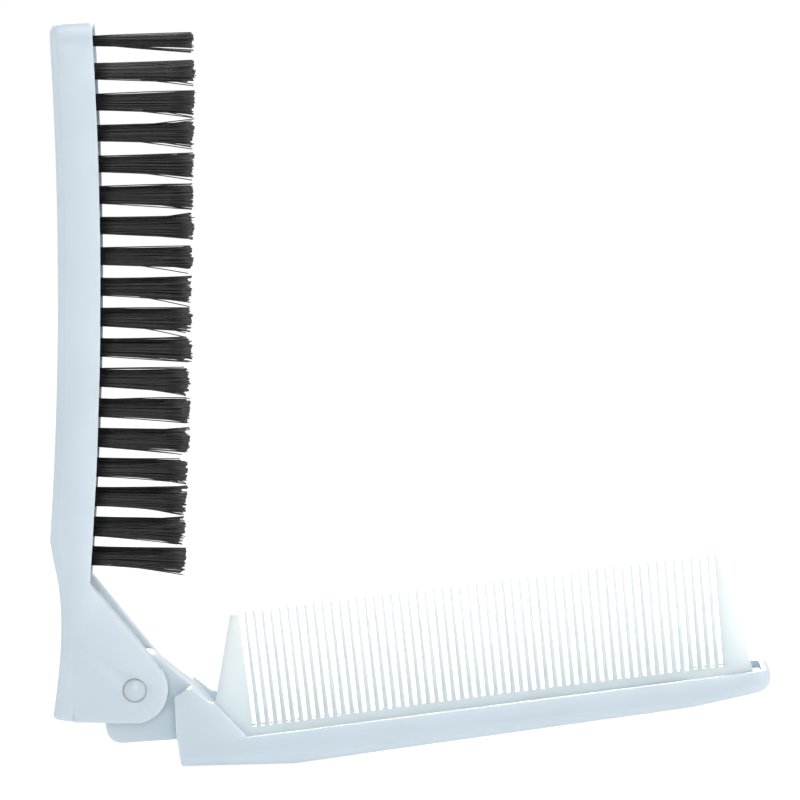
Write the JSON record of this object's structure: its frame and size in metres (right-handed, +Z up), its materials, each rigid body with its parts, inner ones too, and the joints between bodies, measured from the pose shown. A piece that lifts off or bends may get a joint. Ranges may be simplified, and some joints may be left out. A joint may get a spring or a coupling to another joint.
{
  "type": "folding hairbrush with comb",
  "caption": "Folding pocket hairbrush: a tufted brush arm and a tray-shaped comb arm on a hinge pin, with a flat mirror let into the comb arm's back.",
  "frame": {"origin": "the middle of the heel's flat face, on the surface that the part stands on", "axes": "+X along the comb arm away from the hinge, +Y along the hinge axis, +Z up"},
  "size_m": [0.1286, 0.0232, 0.1336],
  "materials": {
    "shell": "satin",
    "comb": "satin",
    "plate": "fine matt",
    "bristles": "drawn nylon",
    "pin": "satin",
    "mirror": "polished",
    "pad": "adhesive foam",
    "wire": "drawn wire"
  },
  "bodies": {
    "comb_arm": {"comb_tray": "shell", "comb": "comb", "mirror_glass": "mirror", "mirror_pad": "pad"},
    "brush_arm": {"brush_shell": "shell", "tuft_plate": "plate", "bristle_row_1": "bristles", "bristle_row_2": "bristles", "bristle_row_3": "bristles", "bristle_row_4": "bristles", "bristle_tip": "bristles", "tuft_anchors": "wire", "hinge_pin": "pin"}
  },
  "joints": [
    {"name": "hinge", "type": "hinge", "parent": "comb_arm", "child": "brush_arm", "pos_m": [-0.01805, 0, 0.014], "axis": [0, 1, 0], "range_deg": [-97, 82]}
  ]
}
